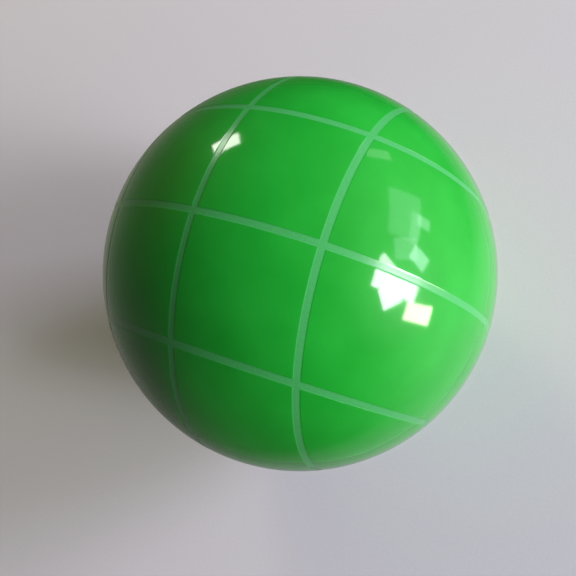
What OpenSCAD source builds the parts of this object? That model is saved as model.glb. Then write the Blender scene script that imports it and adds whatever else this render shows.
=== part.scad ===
// Lawn game ball of cast resin: a heavy filled core, a polished coloured cover,
// and two crossed sets of parallel circles scored into the cover and lined with pale filler.
// The origin is the ball's centre. One set of circles goes round the X axis and lies in
// planes of constant x. The other goes round the Y axis and lies in planes of constant y.

/* [Ball] */
// Diameter of the finished ball
ball_d = 107; // [90:0.5:113]
// Thickness of the coloured cover over the core
cover_t = 8; // [4:0.5:15]

/* [Scored circles] */
// Width of each scored line
line_w = 1.5; // [0.8:0.1:3]
// Depth of the scored groove below the ball's surface
groove_depth = 0.4; // [0.25:0.05:1]
// Depth of the filler's top below the ball's surface
fill_recess = 0.05; // [0.02:0.01:0.2]
// Distance between neighbouring circles of a set, as a share of the ball's radius
line_pitch_share = 0.5; // [0.3:0.01:0.6]
// Offset of the circles round X from the ball's centre
x_set_offset = -2.6; // [-4:0.1:4]
// Offset of the circles round Y from the ball's centre
y_set_offset = -1.3; // [-4:0.1:4]

/* [Hidden] */

$fn = 180;
ball_r = ball_d / 2;
core_r = ball_r - cover_t;
line_pitch = line_pitch_share * ball_r;
// A slab this long each way reaches past the ball on every side
slab_size = 2 * ball_d;
// Places of the three circles of a set, counted in pitches from its middle one
STEPS = [-1, 0, 1];

// Turns what is made round Z so that it goes round X, or round Y
module round_x() rotate([0, 90, 0]) children();
module round_y() rotate([-90, 0, 0]) children();

// Slab of one line's width, square to Z, at place k of a set with this offset
module line_slab(set_offset, k)
    translate([0, 0, set_offset + k * line_pitch])
        cube([slab_size, slab_size, line_w], center = true);

// Slabs of all the lines of both sets
module all_slabs()
    for (k = STEPS) {
        round_x() line_slab(x_set_offset, k);
        round_y() line_slab(y_set_offset, k);
    }

// Filler of one whole circle round Z, from the groove's floor to the filler's top
module ring(set_offset, k)
    intersection() {
        difference() {
            sphere(r = ball_r - fill_recess);
            sphere(r = ball_r - groove_depth);
        }
        line_slab(set_offset, k);
    }

// Filler of one circle round Y: an unbroken ring
module y_line(k)
    color([0.55, 0.84, 0.60])
        round_y() ring(y_set_offset, k);

// Filler of one circle round X: the arcs between its crossings with the rings round Y
module x_line(k)
    color([0.60, 0.87, 0.65])
        difference() {
            round_x() ring(x_set_offset, k);
            for (j = STEPS) round_y() line_slab(y_set_offset, j);
        }

// Heavy core of resin filled with chalk, sealed in the cover
module core()
    color([0.80, 0.79, 0.74])
        sphere(r = core_r);

// Polished cover, hollow for the core, with all the grooves scored in it
module cover()
    color([0.12, 0.66, 0.19])
        difference() {
            sphere(r = ball_r);
            sphere(r = core_r);
            difference() {
                all_slabs();
                sphere(r = ball_r - groove_depth);
            }
        }

module line_y_front() y_line(-1);
module line_y_middle() y_line(0);
module line_y_back() y_line(1);
module line_x_left() x_line(-1);
module line_x_middle() x_line(0);
module line_x_right() x_line(1);

core();
cover();
line_y_front();
line_y_middle();
line_y_back();
line_x_left();
line_x_middle();
line_x_right();
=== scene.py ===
"""The looks of a polished cast-resin lawn game ball with scored lines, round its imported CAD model.

Everything is in metres, in the CAD's frame: the origin is the ball's centre, one set of scored
circles lies in planes of constant x and the other in planes of constant y, and the ball stands
on z = -radius.
"""

import math
from typing import NamedTuple

import bmesh
import bpy
import numpy as np
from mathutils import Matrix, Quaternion, Vector


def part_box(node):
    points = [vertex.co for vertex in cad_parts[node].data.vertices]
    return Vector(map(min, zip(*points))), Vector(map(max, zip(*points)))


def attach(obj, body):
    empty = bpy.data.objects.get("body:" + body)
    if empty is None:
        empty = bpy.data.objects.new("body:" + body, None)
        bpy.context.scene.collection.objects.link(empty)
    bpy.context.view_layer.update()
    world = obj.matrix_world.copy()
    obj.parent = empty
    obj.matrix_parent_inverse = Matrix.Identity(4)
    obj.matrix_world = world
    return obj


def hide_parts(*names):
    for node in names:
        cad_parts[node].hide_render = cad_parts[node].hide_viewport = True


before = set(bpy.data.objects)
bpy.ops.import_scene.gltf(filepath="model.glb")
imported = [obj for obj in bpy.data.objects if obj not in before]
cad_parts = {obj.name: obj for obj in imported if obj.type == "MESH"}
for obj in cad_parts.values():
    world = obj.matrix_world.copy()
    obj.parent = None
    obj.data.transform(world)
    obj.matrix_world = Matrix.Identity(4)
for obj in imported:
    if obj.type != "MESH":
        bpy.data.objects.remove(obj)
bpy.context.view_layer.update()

MM = 0.001

# The ball's sizes, as the CAD has them
CORE_R = (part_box("core")[1].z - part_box("core")[0].z) / 2
BALL_R = (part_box("cover")[1].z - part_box("cover")[0].z) / 2
LINE_NODES = {
    0: ["line_x_left", "line_x_middle", "line_x_right"],
    1: ["line_y_front", "line_y_middle", "line_y_back"],
}
LINE_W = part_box("line_x_middle")[1].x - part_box("line_x_middle")[0].x
GROOVE_DEPTH = 0.4 * MM

# The scored lines' fine shape
LIP_W = 0.2 * MM  # the edge that polishing has rounded
LIP_DROP = 0.012 * MM
WALL_W = 0.03 * MM  # how far the wall leans in under the filler
FILL_MIDDLE_DEPTH = 0.06 * MM
FILL_EDGE_DEPTH = 0.035 * MM
MENISCUS_W = 0.3 * MM  # how wide the filler's climb to the wall is
BED_GAP = 0.01 * MM  # between the groove's floor and the filler

# The mesh: even cells on each side of a cube blown up to a sphere
COVER_CELLS = 80
CAVITY_CELLS = 36
# It is cut along every line at these distances out from each of its walls
CUTS = [
    LIP_W,
    0.65 * LIP_W,
    0.3 * LIP_W,
    0.0,
    -WALL_W,
    -MENISCUS_W / 2,
    -MENISCUS_W,
    -LINE_W / 2,
]
CUT_SNAP = 1e-7  # a cut takes points this near to it as lying on it
STRAIGHT_REACH = (0.6 * MM, 3 * MM)  # within the first, a point sinks in its line's own plane

# Colours that each material varies between
COVER_GREENS = ((0.009, 0.265, 0.02), (0.013, 0.3, 0.026))
FILLER_GREENS = ((0.038, 0.29, 0.07), (0.054, 0.335, 0.092))
CHALK_WHITES = ((0.5, 0.48, 0.41), (0.66, 0.64, 0.57))
PAPER_WHITES = ((0.695, 0.68, 0.72), (0.725, 0.71, 0.75))
# The reflected floor's greys: painted shade away from the key light, painted light towards it
REFLECTED_PAINTED_LIGHT_GREYS = ((0.34, 0.335, 0.345), (0.95, 0.94, 0.95))

# Sizes of the patches in the materials
PIGMENT_CLOUD = 14 * MM
HANDLING_HAZE = 9 * MM
FILLER_GRAIN = 0.35 * MM
FILLER_BUMP = 0.03 * MM
CHALK_GRAIN = 1.5 * MM
CHALK_BUMP = 0.15 * MM
PAPER_FIBRE = 0.8 * MM

# The floor
FLOOR_R = 0.8
MIRRORED_STEP = 0.02 * MM  # how far the floor that the ball reflects lies above the other one
MIRRORED_FADE = (0.09, 0.16)  # it fades out between these distances from the middle
MIRRORED_PAINTED_LIGHT = (-0.02, 0.12)  # painted light and shade: it brightens between these places along x, towards the key light

# The camera
VIEW_AZIMUTH = 73.1
VIEW_ELEVATION = 64.2
VIEW_ROLL = -56.6
CAMERA_AT = (-0.058, -0.068, 2.911)  # right, up and back from the ball's centre, in radii
LENS_MM = 33.75
SENSOR_MM = 36

WHITE = (1.0, 1.0, 1.0)
CYAN_WHITE = (0.95, 1.0, 1.0)
SKY = (0.85, 1.0, 1.1)


class Panel(NamedTuple):
    """A soft rectangular light that faces the ball. Its angles are in degrees."""

    azimuth: float
    elevation: float
    roll: float
    distance: float
    width: float
    height: float
    radiance: float
    colour: tuple
    reflected: bool = True
    lighting: bool = True


PANELS = {
    "key": Panel(94.4, 16, 0, 2.0, 0.35, 0.93, 22, (1.0, 1.0, 1.05)),
    "key_wing": Panel(88, 17.2, 45, 2.0, 0.37, 0.37, 22, (1.0, 1.0, 1.05)),
    "key_top": Panel(103.1, 23.3, -35, 2.0, 0.15, 0.33, 16, CYAN_WHITE),
    "key_low": Panel(86.3, 1, 11, 0.45, 0.062, 0.125, 24, (1.0, 0.97, 0.75), lighting=False),
    "side": Panel(128, 12, -18, 2.0, 0.82, 0.62, 1.5, SKY),
    "side_low": Panel(112.1, 13.6, 8, 2.0, 0.35, 0.47, 2.3, SKY),
    "side_strip": Panel(123.4, 7.2, -18, 2.0, 0.455, 0.2, 1.7, SKY),
    "side_foot": Panel(108.3, 8.6, 61, 0.45, 0.08, 0.054, 6.8, SKY, lighting=False),
    "side_prong": Panel(124, 5.3, -17, 0.45, 0.039, 0.055, 3.4, SKY, lighting=False),
    "back": Panel(-138.6, 28.7, 5, 1.0, 0.19, 0.14, 14, (1.0, 1.0, 0.9)),
    "edge": Panel(158.7, 9.7, -24, 2.0, 0.18, 0.4, 1.5, CYAN_WHITE),
    "fill": Panel(124, 12, 0, 2.5, 0.8, 0.8, 31, (1.07, 0.985, 1.24), reflected=False),
    "fill_back": Panel(-139, 31, 0, 1.0, 0.3, 0.3, 3.25, (1.05, 0.95, 0.25), reflected=False),
    "fill_low": Panel(86, 5, 0, 2.0, 0.5, 0.3, 23, (1.0, 0.95, 0.85), reflected=False),
}


class Glow(NamedTuple):
    """A soft patch of light on the studio's walls. Its angles are in degrees."""

    azimuth: float
    elevation: float
    sharpness: float
    radiance: float
    colour: tuple


GLOWS = [
    Glow(120, 10, 4, 0.72, (1.03, 1.0, 0.86)),
    Glow(90, 10, 16, 1.1, WHITE),
    Glow(80, -30, 8, 0.78, WHITE),
    Glow(300, -20, 2, 0.18, (1.1, 1.0, 0.95)),
    Glow(250, -30, 8, 0.15, (1.1, 1.0, 0.85)),
    Glow(240, 30, 8, 0.12, (1.3, 1.0, 0.45)),
]
BACKDROP_GREY = 0.62


# The ball's surface


def line_places(axis):
    """Where the middles of the lines square to this axis lie along it."""
    return np.array([(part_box(n)[0][axis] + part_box(n)[1][axis]) / 2 for n in LINE_NODES[axis]])


PLACES = [line_places(0), line_places(1)]


def wall_distances(points):
    """How far each point is outside the nearest line's wall, along x and along y.

    It is negative inside a line.
    """
    return np.stack(
        [np.abs(points[:, a, None] - PLACES[a]).min(1) - LINE_W / 2 for a in (0, 1)], 1
    )


def outward(points, axis):
    """Which way along the axis leads out of the nearest line."""
    nearest = PLACES[axis][np.abs(points[:, axis, None] - PLACES[axis]).argmin(1)]
    return np.sign(points[:, axis] - nearest)


def cover_depth(s):
    """The cover's depth and slope at distance s out from the wall: a rounded lip, wall and floor."""
    lip = np.clip(1 - s / LIP_W, 0, 1)
    down = np.clip(-s / WALL_W, 0, 1)
    depth = LIP_DROP * lip**2 + (GROOVE_DEPTH - LIP_DROP) * down
    slope = np.where(s >= -WALL_W / 2, -2 * LIP_DROP / LIP_W * lip, 0.0)
    return depth, slope


def fill_depth(s):
    """The filler's depth and slope at distance s out from the wall: it climbs a little to it."""
    climb = np.clip(1 + s / MENISCUS_W, 0, 1)
    rise = FILL_MIDDLE_DEPTH - FILL_EDGE_DEPTH
    return FILL_MIDDLE_DEPTH - rise * climb**2, -2 * rise / MENISCUS_W * climb


def sink(points, depth):
    """Points moved to this depth under the ball's surface.

    Near a line they stay in planes square to its axis.
    """
    near, far = STRAIGHT_REACH
    way = points.copy()
    way[:, :2] *= np.clip((wall_distances(points) + LINE_W / 2 - near) / (far - near), 0, 1)
    aa = (way * way).sum(1)
    ab = (way * points).sum(1)
    excess = (points * points).sum(1) - (BALL_R - depth) ** 2
    return points + way * ((np.sqrt(ab * ab - aa * excess) - ab) / aa)[:, None]


def surface(points, profile):
    """Points of the smooth ball moved to a depth profile, with the normals there."""
    walls = wall_distances(points)
    depth, slope = profile(walls.min(1))
    normals = points / np.linalg.norm(points, axis=1)[:, None]
    for axis in (0, 1):
        nearer = walls[:, axis] == walls.min(1)
        normals[nearer, axis] += (slope * outward(points, axis))[nearer]
    return sink(points, depth), normals / np.linalg.norm(normals, axis=1)[:, None]


# Meshes


def cube_sphere(cells, radius):
    """A bmesh sphere of nearly even four-sided cells."""
    ball = bmesh.new()
    bmesh.ops.create_cube(ball, size=2)
    bmesh.ops.subdivide_edges(ball, edges=ball.edges[:], cuts=cells - 1, use_grid_fill=True)
    for v in ball.verts:
        v.co = Vector([math.tan(c * math.pi / 4) for c in v.co]).normalized() * radius
    return ball


def cut_along_lines(ball):
    """Cuts the sphere along every line, at each of CUTS from both of its walls."""
    square = [Vector((1, 0, 0)), Vector((0, 1, 0))]
    cell_w = 2 * math.pi * BALL_R / 4 / COVER_CELLS
    reach = LINE_W / 2 + LIP_W + cell_w
    for axis in (0, 1):
        for place in PLACES[axis]:
            faces = [f for f in ball.faces if abs(f.calc_center_median()[axis] - place) < reach]
            near = list({e for f in faces for e in (*f.verts, *f.edges)}) + faces
            for offset in CUTS:
                for side in (-1, 1):
                    if side == 1 and LINE_W / 2 + offset == 0:
                        continue
                    at = square[axis] * (place + side * (LINE_W / 2 + offset))
                    cut = bmesh.ops.bisect_plane(
                        ball, geom=near, dist=CUT_SNAP, plane_co=at, plane_no=square[axis]
                    )
                    near = cut["geom"]


def points_and_faces(ball):
    """A bmesh's points as an array, and its faces as lists of point numbers."""
    ball.verts.index_update()
    points = np.array([v.co for v in ball.verts], float)
    return points, [[v.index for v in f.verts] for f in ball.faces]


def line_of_each_face(points, faces):
    """The node that each face's place belongs to. The lines round Y run on through the crossings."""
    middles = np.array([points[f].mean(0) for f in faces])
    owners = [None] * len(faces)
    for axis in (0, 1):
        apart = np.abs(middles[:, axis, None] - PLACES[axis])
        inside = apart.min(1) < LINE_W / 2
        for i in np.flatnonzero(inside):
            owners[i] = LINE_NODES[axis][apart[i].argmin()]
    return owners


def make_piece(name, points, faces, normals, material):
    """A smooth mesh object with its own normals."""
    mesh = bpy.data.meshes.new(name)
    mesh.from_pydata(points.tolist(), [], faces)
    mesh.shade_smooth()
    mesh.normals_split_custom_set_from_vertices(normals.tolist())
    mesh.materials.append(material)
    piece = bpy.data.objects.new(name, mesh)
    bpy.context.scene.collection.objects.link(piece)
    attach(piece, "root")
    return piece


def make_cover(points, faces, material):
    """The hollow cover: the scored skin outside, and the cavity that holds the core."""
    skin, skin_normals = surface(points, cover_depth)
    hollow = cube_sphere(CAVITY_CELLS, CORE_R)
    cavity, cavity_faces = points_and_faces(hollow)
    hollow.free()
    inward = [[len(skin) + i for i in reversed(f)] for f in cavity_faces]
    cover = make_piece(
        "ball_cover",
        np.vstack([skin, cavity]),
        faces + inward,
        np.vstack([skin_normals, -cavity / CORE_R]),
        material,
    )
    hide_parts("cover")


def make_filler(node, points, faces, material):
    """One line's filler: a dished top, straight sides and a bed over the groove's floor."""
    used = sorted({i for f in faces for i in f})
    renumber = {old: new for new, old in enumerate(used)}
    top_faces = [[renumber[i] for i in f] for f in faces]
    top, top_normals = surface(points[used], fill_depth)
    bed = sink(points[used], np.full(len(used), GROOVE_DEPTH - BED_GAP))
    edges = {(f[i - 1], f[i]) for f in top_faces for i in range(len(f))}
    rim = sorted((a, b) for a, b in edges if (b, a) not in edges)
    n = len(used)
    sides = [[b, a, a + n, b + n] for a, b in rim]
    bed_faces = [[i + n for i in reversed(f)] for f in top_faces]
    filler = make_piece(
        node + "_filler",
        np.vstack([top, bed]),
        top_faces + bed_faces + sides,
        np.vstack([top_normals, -bed / np.linalg.norm(bed, axis=1)[:, None]]),
        material,
    )
    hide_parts(node)


# Materials


def node_tools(tree):
    """Short ways to add a node to this tree and to join two sockets."""

    def add(kind, values=(), **settings):
        node = tree.nodes.new(kind)
        for key, value in settings.items():
            setattr(node, key, value)
        for key, value in dict(values).items():
            node.inputs[key].default_value = value
        return node

    return add, tree.links.new


def new_material(name):
    """A node material, its shader, and its node tools."""
    material = bpy.data.materials.new(name)
    material.use_nodes = True
    shader = material.node_tree.nodes["Principled BSDF"]
    return material, shader, *node_tools(material.node_tree)


def mottle(add, join, size, detail=2.0, roughness=0.5):
    """Noise in the object's own space, whose patches are about this size."""
    place = add("ShaderNodeTexCoord")
    noise = add("ShaderNodeTexNoise", {"Scale": 1 / size, "Detail": detail, "Roughness": roughness})
    join(place.outputs["Object"], noise.inputs["Vector"])
    return noise


def spread(add, join, value, low, high, start=0.0, end=1.0):
    """Turns a value from start to end into one from low to high."""
    ramp = add(
        "ShaderNodeMapRange",
        {"From Min": start, "From Max": end, "To Min": low, "To Max": high},
    )
    join(value, ramp.inputs["Value"])
    return ramp.outputs["Result"]


def vary_colour(add, join, shader, share, colours):
    """Makes the base colour go from the first to the second as share goes from 0 to 1."""
    mix = add("ShaderNodeMix", data_type="RGBA")
    for socket, colour in zip(("A", "B"), colours):
        mix.inputs[socket].default_value = (*colour, 1)
    join(share, mix.inputs["Factor"])
    join(mix.outputs["Result"], shader.inputs["Base Color"])


def raise_grain(add, join, shader, grain, strength, height):
    """Makes the noise stand up from the surface."""
    bump = add("ShaderNodeBump", {"Strength": strength, "Distance": height})
    join(grain.outputs["Fac"], bump.inputs["Height"])
    join(bump.outputs["Normal"], shader.inputs["Normal"])


def cover_resin():
    """Solid green resin, turned true and polished, with clouded pigment and a haze of handling."""
    material, shader, add, join = new_material("green_resin")
    cloud = mottle(add, join, PIGMENT_CLOUD, detail=3)
    tone = spread(add, join, cloud.outputs["Fac"], 0, 1, 0.35, 0.65)
    vary_colour(add, join, shader, tone, COVER_GREENS)
    haze = mottle(add, join, HANDLING_HAZE, detail=5, roughness=0.6)
    gloss = spread(add, join, haze.outputs["Fac"], 0.07, 0.11, 0.4, 0.75)
    join(gloss, shader.inputs["Roughness"])
    shader.inputs["IOR"].default_value = 1.5
    return material


def line_filler():
    """Pale green filler, half-matte and slightly grainy."""
    material, shader, add, join = new_material("pale_filler")
    grain = mottle(add, join, FILLER_GRAIN, detail=4, roughness=0.7)
    tone = spread(add, join, grain.outputs["Fac"], 0, 1, 0.3, 0.7)
    vary_colour(add, join, shader, tone, FILLER_GREENS)
    raise_grain(add, join, shader, grain, 0.4, FILLER_BUMP)
    shader.inputs["Roughness"].default_value = 0.22
    return material


def core_resin():
    """Off-white resin full of chalk, with coarse grains."""
    material, shader, add, join = new_material("chalk_resin")
    grain = mottle(add, join, CHALK_GRAIN, detail=6, roughness=0.7)
    tone = spread(add, join, grain.outputs["Fac"], 0, 1, 0.3, 0.7)
    vary_colour(add, join, shader, tone, CHALK_WHITES)
    raise_grain(add, join, shader, grain, 0.5, CHALK_BUMP)
    shader.inputs["Roughness"].default_value = 0.85
    return material


def floor_paper():
    """Pale smooth paper."""
    material, shader, add, join = new_material("floor_paper")
    fibre = mottle(add, join, PAPER_FIBRE, detail=4)
    tone = spread(add, join, fibre.outputs["Fac"], 0, 1, 0.3, 0.7)
    vary_colour(add, join, shader, tone, PAPER_WHITES)
    shader.inputs["Roughness"].default_value = 0.9
    shader.inputs["Specular IOR Level"].default_value = 0.0
    return material


def reflected_paper_painted_light():
    """The reflected floor: painted light towards the key light, painted shade away from it, fading
    outwards.
    """
    material, shader, add, join = new_material("reflected_paper_painted_light")
    place = add("ShaderNodeTexCoord")
    across = add("ShaderNodeSeparateXYZ")
    join(place.outputs["Object"], across.inputs["Vector"])
    # Painted light and shade: the grey goes from dark to bright along x, towards the key light
    tone = spread(add, join, across.outputs["X"], 0, 1, *MIRRORED_PAINTED_LIGHT)
    vary_colour(add, join, shader, tone, REFLECTED_PAINTED_LIGHT_GREYS)
    apart = add("ShaderNodeVectorMath", operation="LENGTH")
    join(place.outputs["Object"], apart.inputs[0])
    join(spread(add, join, apart.outputs["Value"], 1, 0, *MIRRORED_FADE), shader.inputs["Alpha"])
    shader.inputs["Roughness"].default_value = 0.5
    return material


# The camera, the floor and the lights


def direction(azimuth, elevation):
    """The way from the ball towards these angles in degrees. Azimuth 0 is -Y and 90 is +X."""
    turn = math.radians(azimuth)
    rise = math.radians(elevation)
    flat = math.cos(rise)
    return Vector((math.sin(turn) * flat, -math.cos(turn) * flat, math.sin(rise)))


def facing_ball(way, roll):
    """The turn of a camera or light that looks back at the ball from this way off."""
    return way.to_track_quat("Z", "Y") @ Quaternion((0, 0, 1), math.radians(roll))


def make_camera():
    """The camera at the photograph's viewing angle."""
    data = bpy.data.cameras.new("camera")
    data.lens = LENS_MM
    data.sensor_width = SENSOR_MM
    data.clip_start = 0.005
    camera = bpy.data.objects.new("camera", data)
    turn = facing_ball(direction(VIEW_AZIMUTH, VIEW_ELEVATION), VIEW_ROLL)
    camera.rotation_mode = "QUATERNION"
    camera.rotation_quaternion = turn
    camera.location = turn @ (Vector(CAMERA_AT) * BALL_R)
    bpy.context.scene.collection.objects.link(camera)
    bpy.context.scene.camera = camera


def make_disc(name, radius, height, material):
    """A flat disc of the stage, at this height above the ball's lowest point."""
    bpy.ops.mesh.primitive_circle_add(
        vertices=96, radius=radius, fill_type="NGON", location=(0, 0, height - BALL_R)
    )
    disc = bpy.context.object
    disc.name = name
    disc.data.materials.append(material)
    return disc


def make_floor():
    """A plain pale floor, and the part of it that the polished ball reflects, with painted light and
    shade.
    """
    floor = make_disc("floor", FLOOR_R, 0, floor_paper())
    floor.visible_glossy = False
    mirrored = make_disc("mirrored_floor", MIRRORED_FADE[1], MIRRORED_STEP, reflected_paper_painted_light())
    mirrored.visible_camera = False
    mirrored.visible_diffuse = False
    mirrored.visible_shadow = False


def make_light(name, panel):
    """One soft panel."""
    data = bpy.data.lights.new(name, "AREA")
    data.shape = "RECTANGLE"
    data.size = panel.width
    data.size_y = panel.height
    data.energy = math.pi * panel.width * panel.height * panel.radiance
    data.color = panel.colour
    light = bpy.data.objects.new(name, data)
    way = direction(panel.azimuth, panel.elevation)
    light.location = way * panel.distance
    light.rotation_mode = "QUATERNION"
    light.rotation_quaternion = facing_ball(way, panel.roll)
    light.visible_camera = False
    light.visible_glossy = panel.reflected
    light.visible_diffuse = panel.lighting
    bpy.context.scene.collection.objects.link(light)


def add_glow(add, join, place, glow, below):
    """The studio's light with one more glow over what is below."""
    way = direction(glow.azimuth, glow.elevation)
    facing = add("ShaderNodeVectorMath", {1: way}, operation="DOT_PRODUCT")
    join(place.outputs["Generated"], facing.inputs[0])
    front = add("ShaderNodeMath", {1: 0}, operation="MAXIMUM")
    join(facing.outputs["Value"], front.inputs[0])
    fall = add("ShaderNodeMath", {1: glow.sharpness}, operation="POWER")
    join(front.outputs["Value"], fall.inputs[0])
    light = [glow.radiance * c for c in glow.colour]
    total = add("ShaderNodeVectorMath", {1: light, 2: (0, 0, 0)}, operation="MULTIPLY_ADD")
    join(fall.outputs["Value"], total.inputs[0])
    if below:
        join(below, total.inputs[2])
    return total.outputs["Vector"]


def make_world():
    """A dim studio with soft glows on its walls. The camera itself sees a plain pale backdrop."""
    world = bpy.data.worlds.new("studio")
    bpy.context.scene.world = world
    world.use_nodes = True
    add, join = node_tools(world.node_tree)
    place = add("ShaderNodeTexCoord")
    total = None
    for glow in GLOWS:
        total = add_glow(add, join, place, glow, total)
    seen = add("ShaderNodeLightPath")
    mix = add("ShaderNodeMix", data_type="RGBA")
    join(seen.outputs["Is Camera Ray"], mix.inputs["Factor"])
    join(total, mix.inputs["A"])
    mix.inputs["B"].default_value = (BACKDROP_GREY, BACKDROP_GREY, BACKDROP_GREY, 1)
    join(mix.outputs["Result"], world.node_tree.nodes["Background"].inputs["Color"])


def make_ball():
    """The cover, the fillers and the looks of the core."""
    ball = cube_sphere(COVER_CELLS, BALL_R)
    cut_along_lines(ball)
    points, faces = points_and_faces(ball)
    ball.free()
    make_cover(points, faces, cover_resin())
    owners = line_of_each_face(points, faces)
    pale = line_filler()
    for node in LINE_NODES[0] + LINE_NODES[1]:
        make_filler(node, points, [f for f, o in zip(faces, owners) if o == node], pale)
    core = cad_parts["core"]
    core.data.materials.clear()
    core.data.materials.append(core_resin())


make_camera()
make_ball()
make_floor()
for name, panel in PANELS.items():
    make_light(name, panel)
make_world()
bpy.context.scene.view_settings.view_transform = "Standard"
